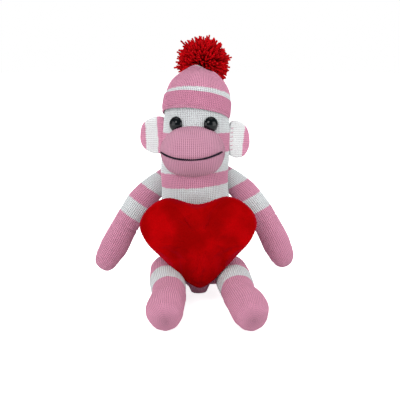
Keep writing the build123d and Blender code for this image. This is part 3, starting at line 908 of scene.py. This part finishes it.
def hat_crown():
    """Knitted dome from inside the cuff, which hides its start, up to the top."""
    tilt = np.linspace(radians(-6.0), radians(89.0), 72)
    cols = HAT_WALES * PER_WALE
    angle = np.linspace(0, 2 * pi, cols, endpoint=False) + pi / 2
    grid = np.empty((len(tilt), cols, 3))
    for i, t in enumerate(tilt):
        for j, a in enumerate(angle):
            way = Vector((cos(t) * cos(a), cos(t) * sin(a), sin(t)))
            r = CROWN_R + 0.9 * cos(t) ** 4 + crown_offset(way)
            grid[i, j] = (way * r) + Vector((0, 0, CROWN_RISE))
    grid = relief(grid, 0.8, 14.0, 61.0)
    along = CROWN_RISE + CROWN_R * tilt
    fade = np.clip((1.35 - tilt) / 0.35, 0, 1)[:, None, None]
    grid = grid + (relief(grid, rib=RIB, u=HAT_U[None, :-1]) - grid) * fade
    material = knit("hat_crown", CROWN_BANDS, wales=HAT_WALES, slope=STRIPE_LEAN)
    return sheet("hat_crown", grid, material, HAT_U, along, caps=(False, True), place=HAT)


def hat_band(name, outline, steps, color, lump, seed):
    """A folded edge of the hat: an outline of (radius, height) turned about the hat's axis, with ribs."""
    at = np.linspace(0, len(outline) - 1, steps)
    radii, heights = (curve_through(at, range(len(outline)), line) for line in zip(*outline))
    grid, _ = ring_stack(heights, radii, HAT_WALES * PER_WALE)
    grid = relief(grid, lump, 12.0, seed)
    grid = relief(grid, rib=-RIB, u=HAT_U[None, :-1])
    along = summed(np.hypot(np.diff(radii), np.diff(heights)))
    material = knit(name, [(BELOW_ALL, color)], ribs=0.35)
    return sheet(name, grid, material, HAT_U, along, caps=(False, False), place=HAT, flip=True)


CUFF = (
    (32.0, 6.2), (32.8, 6.4), (33.4, 5.8), (33.7, 4.2), (33.8, 0.0), (33.8, -4.0), (33.7, -6.2),
    (33.4, -7.4), (32.9, -7.9), (32.4, -7.6), (32.2, -6.4),
)
LINING = (
    (31.8, -3.0), (32.5, -5.5), (33.0, -8.0), (33.1, -9.4),
    (32.9, -10.3), (32.4, -10.7), (32.0, -10.2), (31.8, -8.5),
)
attach(hat_crown(), "head", "hat")
attach(hat_band("hat_cuff", CUFF, 44, DEEP_PINK, 0.6, 71.0), "head")
attach(hat_band("hat_lining", LINING, 26, PINK, 0.4, 75.0), "head")

# ---- pompom ----

POM_NEARER = Vector((-0.6, -8.5, 0.5))  # the soft pompom is pressed closer to the crown than the CAD's ball
POM_CORE = 2.0  # strands start this far from the middle
STRANDS = 1150
SCATTER = 0.09
REACH, REACH_SPREAD = 25.6, 1.5
STRAY_CHANCE, STRAY_REACH = 0.06, (1.5, 4.5)
PRESSED_IN = 1.0
YARN_R = 0.98
YARN_SHARES = (0.85, 0.95, 1.0, 1.02, 1.04, 0.9)  # of that radius, from the middle to the cut end


def pompom():
    """Cut strands of yarn round a tied middle, shorter where they press on the hat."""
    rng = random.Random(7)
    low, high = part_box("pompom")
    centre = Vector([(a + b) / 2 / MM for a, b in zip(low, high)]) + POM_NEARER
    from_crown = centre - HAT @ Vector((0, 0, CROWN_RISE))
    paths, tints, golden = [], [], pi * (3 - sqrt(5))
    for n in range(STRANDS):
        z = 1 - 2 * (n + 0.5) / STRANDS
        r = sqrt(1 - z * z)
        way = Vector((r * cos(golden * n), r * sin(golden * n), z))
        way = (way + Vector([rng.uniform(-SCATTER, SCATTER) for _ in range(3)])).normalized()
        reach = rng.gauss(REACH, REACH_SPREAD)
        if rng.random() < STRAY_CHANCE:
            reach += rng.uniform(*STRAY_REACH)
        towards = -from_crown.dot(way)
        within = towards**2 - from_crown.length_squared + (CROWN_R + PRESSED_IN) ** 2
        if towards > 0 and within > 0:  # this strand ends on the crown
            reach = min(reach, towards - sqrt(within) + PRESSED_IN)
        bend = Vector([rng.uniform(-1, 1) for _ in range(3)]).cross(way) * rng.uniform(0.4, 2.0)
        path = []
        for k in range(len(YARN_SHARES)):
            t = k / (len(YARN_SHARES) - 1)
            path.append(centre + way * (POM_CORE + (reach - POM_CORE) * t) + bend * t * t)
        paths.append(path)
        tints.append(min(1.0, max(0.0, rng.gauss(0.3, 0.28))))
    obj = wires("pompom_strands", paths, [YARN_R * s for s in YARN_SHARES], POM_YARN, sides=5, tints=tints)
    attach(obj, "pompom", "pompom")


pompom()

# ---- heart ----

HEART_PLACE, HEART_BACK, HEART_ROLL = (0.6, -51.0, 21.6), 6.0, 1.5
HEART = move(*HEART_PLACE) @ rot(-HEART_BACK, -HEART_ROLL, 0)
HEART_OUTLINE = (
    (0.0, -3.2), (9.5, 1.4), (20.6, 11.6), (34.4, 26.4), (44.8, 37.2), (51.6, 48.3), (53.9, 57.5),
    (51.3, 66.5), (44.5, 75.0), (36.0, 80.8), (26.5, 83.3), (17.5, 81.3), (9.0, 78.2), (0.0, 76.6),
)
HEART_WIDER = (1.02, 1.0)
HEART_MIDDLE = 48.0
HEART_DEPTH, HEART_FULL = 13.6, 3.2  # depth of one panel's middle, and the power of its profile
HEART_COUNT, HEART_RINGS = 168, 30
CORE_SHARE = 0.93  # size of the filling beside the panels
CLOTH = {
    "quality": 6, "mass": 0.15, "vertex_group_mass": "seam",
    "use_pressure": True, "uniform_pressure_force": 3.0, "shrink_min": -0.03,
    "tension_stiffness": 18, "compression_stiffness": 18, "shear_stiffness": 6, "bending_stiffness": 0.4,
}
CLOTH_FRAMES = 20
CLOTH_LIMIT = 2.6  # furthest that a point may move, mm


def heart_edge(count):
    """Closed outline as evenly spaced points (x, z), from the tip round by the left."""
    half = list(HEART_OUTLINE)
    loop = np.array(half + [(-x, z) for x, z in reversed(half[1:-1])]) * HEART_WIDER
    n = len(loop)
    t = np.linspace(0, n, 1200, endpoint=False)
    i = t.astype(int)
    f = (t - i)[:, None]
    p0, p1, p2, p3 = (loop[(i + k) % n] for k in (-1, 0, 1, 2))
    bend, twist = 2 * p0 - 5 * p1 + 4 * p2 - p3, 3 * p1 - p0 - 3 * p2 + p3
    spline = 0.5 * (2 * p1 + (p2 - p0) * f + bend * f**2 + twist * f**3)
    closed = np.vstack([spline, spline[:1]])
    along = summed(np.linalg.norm(np.diff(closed, axis=0), axis=1))
    even = np.linspace(0, along[-1], count, endpoint=False)
    return np.stack([np.interp(even, along, closed[:, k]) for k in (0, 1)], axis=1)


def heart():
    """Two plush panels sewn round the edge, as one closed shell, filled by a short pressure simulation."""
    count, rings = HEART_COUNT, HEART_RINGS
    edge = heart_edge(count)
    middle = np.array([0.0, HEART_MIDDLE])
    grids = []
    for way in (-1.0, 1.0):
        rows = []
        for i in range(rings):
            s = 1.0 - i / (rings - 0.4)  # 1 at the seam
            flat = middle + (edge - middle) * s
            depth = HEART_DEPTH * sqrt(max(0.0, 1 - s**HEART_FULL))
            rows.append(np.stack([flat[:, 0], np.full(count, way * depth), flat[:, 1]], axis=-1))
        grids.append(np.array(rows))
    ends = [(0, way * HEART_DEPTH, HEART_MIDDLE) for way in (-1, 1)]
    points = np.vstack([grids[0].reshape(-1, 3), grids[1][1:].reshape(-1, 3), ends])
    faces = []

    def index(side, i, j):
        """Both sides share ring 0, the seam."""
        back = side == 1 and i > 0
        return ((rings - 1 if back else 0) + i) * count + j % count

    for side in (0, 1):
        turn = -1 if side else 1
        for i in range(rings - 1):
            for j in range(count):
                corners = ((i, j), (i, j + 1), (i + 1, j + 1), (i + 1, j))
                faces.append([index(side, *corner) for corner in corners][::turn])
        for j in range(count):
            tri = [index(side, rings - 1, j), index(side, rings - 1, j + 1), len(points) - 2 + side]
            faces.append(tri[::turn])
    obj = mesh_object("heart_shell", points, faces, PLUSH, None, HEART)
    inflate(obj, range(count))
    return obj


def inflate(obj, held):
    """Cloth with pressure and no gravity, held along its seam. Its result is applied, within a limit."""
    start = np.array([v.co[:] for v in obj.data.vertices])
    group = obj.vertex_groups.new(name="seam")
    group.add(list(held), 1.0, "REPLACE")
    cloth = obj.modifiers.new("Cloth", "CLOTH")
    for key, value in CLOTH.items():
        setattr(cloth.settings, key, value)
    cloth.settings.effector_weights.gravity = 0
    scene = bpy.context.scene
    for f in range(1, CLOTH_FRAMES + 1):
        scene.frame_set(f)
    graph = bpy.context.evaluated_depsgraph_get()
    solved = obj.evaluated_get(graph)
    end = np.array([v.co[:] for v in solved.data.vertices])
    obj.modifiers.remove(cloth)
    scene.frame_set(1)
    step = end - start
    size = np.linalg.norm(step, axis=1, keepdims=True)
    step *= np.minimum(1.0, CLOTH_LIMIT * MM / np.maximum(size, 1e-9))
    obj.data.vertices.foreach_set("co", (start + step).ravel())
    obj.data.update()
    print("inflate", obj.name, "largest move mm", round(float(size.max()) / MM, 2))


def split_heart(shell):
    """The two panels as their own pieces, the filling between them and the seam's stitches."""
    co = np.array([v.co[:] for v in shell.data.vertices]) / MM
    faces = [list(p.vertices) for p in shell.data.polygons]
    half = len(faces) // 2
    for way, part in (("front", faces[:half]), ("back", faces[half:])):
        used = sorted({v for f in part for v in f})
        new = {v: i for i, v in enumerate(used)}
        piece = mesh_object(f"heart_{way}_plush", co[used], [[new[v] for v in f] for f in part], PLUSH)
        smooth = piece.modifiers.new("Subdivision", "SUBSURF")
        smooth.levels = smooth.render_levels = 1
        smooth.boundary_smooth = "PRESERVE_CORNERS"
        attach(piece, "heart", f"heart_{way}_panel")
    seam = co[:HEART_COUNT]
    middle = seam.mean(axis=0)
    core = mesh_object("heart_filling", middle + (co - middle) * CORE_SHARE, faces, FIBRE)
    attach(core, "heart", "heart_stuffing")
    paths = []
    for j in range(0, HEART_COUNT, 2):
        a, b = seam[j], seam[(j + 1) % HEART_COUNT]
        inward = (middle - a) / np.linalg.norm(middle - a)
        over = (a + b) / 2 - inward * 0.15
        paths.append([a + inward * 0.5 + (0, -0.5, 0), over, b + inward * 0.5 + (0, 0.5, 0)])
    attach(wires("heart_seam_stitches", paths, 0.22, RED_THREAD), "heart")
    bpy.data.objects.remove(shell)


split_heart(heart())

# ---- inner CAD pieces ----

LOOK_BY_ENDING = (
    ("_stuffing", FIBRE), ("_washer", WASHER), ("tack_thread", RED_THREAD), ("pompom_thread", RED_THREAD),
    ("_thread", THREAD),
)
for name, obj in frame["nodes"].items():
    looks = [look for ending, look in LOOK_BY_ENDING if name.endswith(ending)]
    if looks:
        obj.data.materials.clear()
        obj.data.materials.append(looks[0])

# ---- stage ----


FLOOR_GLOW = 0.8
FLOOR_Z = -0.2
FLOOR_CORNERS = ((-6000, 9000), (-6000, -3000), (6000, -3000), (6000, 9000))
WORLD_LIGHT, WORLD_SEEN, GLOSS_DARKER = 0.74, 1.0, -0.55
LAMPS = (  # name, place in metres, size, power
    ("key", (-0.45, -0.95, 0.95), 0.55, 5.6),
    ("fill", (1.0, -0.5, 0.3), 0.8, 5.5),
    ("side", (-1.0, -0.5, 0.25), 0.8, 4.0),
    ("top", (0.1, 0.3, 1.2), 0.9, 3.6),
)
LAMP_AIM = Vector((0, 0, 0.12))
CAMERA_PLACE, CAMERA_DOWN = (-0.003, -0.640, 0.232), 12.3
CAMERA_LENS, CAMERA_SHIFT = 58.95, 0.01


def floor_plane():
    """White cloth that glows for the camera only, so that it stays white round the toy's shadow."""
    m = Mat("floor")
    m.plug((1, 1, 1, 1), m.bsdf.inputs["Emission Color"])
    seen = m.node("ShaderNodeLightPath").outputs["Is Camera Ray"]
    m.plug(m.math("MULTIPLY", seen, FLOOR_GLOW), m.bsdf.inputs["Emission Strength"])
    cloth = m.finish((0.9, 0.9, 0.9, 1), 0.9)
    mesh_object("floor", [(x, y, FLOOR_Z) for x, y in FLOOR_CORNERS], [[0, 1, 2, 3]], cloth)


def studio_world():
    """Even white light. Reflections see a darker studio, so that the glossy eyes stay black."""
    m = Mat("studio", world=True)
    path = m.node("ShaderNodeLightPath").outputs
    level = m.plus(WORLD_LIGHT, path["Is Camera Ray"], WORLD_SEEN - WORLD_LIGHT)
    m.plug(m.plus(level, path["Is Glossy Ray"], GLOSS_DARKER), m.bsdf.inputs["Strength"])
    m.plug((1, 1, 1, 1), m.bsdf.inputs["Color"])
    return m.mat


def stage():
    floor_plane()
    scene = bpy.context.scene
    scene.world = studio_world()
    scene.view_settings.view_transform = "Standard"
    for name, at, size, power in LAMPS:
        light = bpy.data.lights.new(name, "AREA")
        light.size = size
        light.energy = power
        lamp = bpy.data.objects.new(name, light)
        lamp.location = at
        lamp.rotation_euler = (LAMP_AIM - Vector(at)).to_track_quat("-Z", "Y").to_euler()
        scene.collection.objects.link(lamp)
    eye = bpy.data.cameras.new("camera")
    eye.lens = CAMERA_LENS
    eye.shift_x = CAMERA_SHIFT
    camera = bpy.data.objects.new("camera", eye)
    camera.location = CAMERA_PLACE
    camera.rotation_euler = (radians(90 - CAMERA_DOWN), 0, 0)
    scene.collection.objects.link(camera)
    scene.camera = camera


stage()
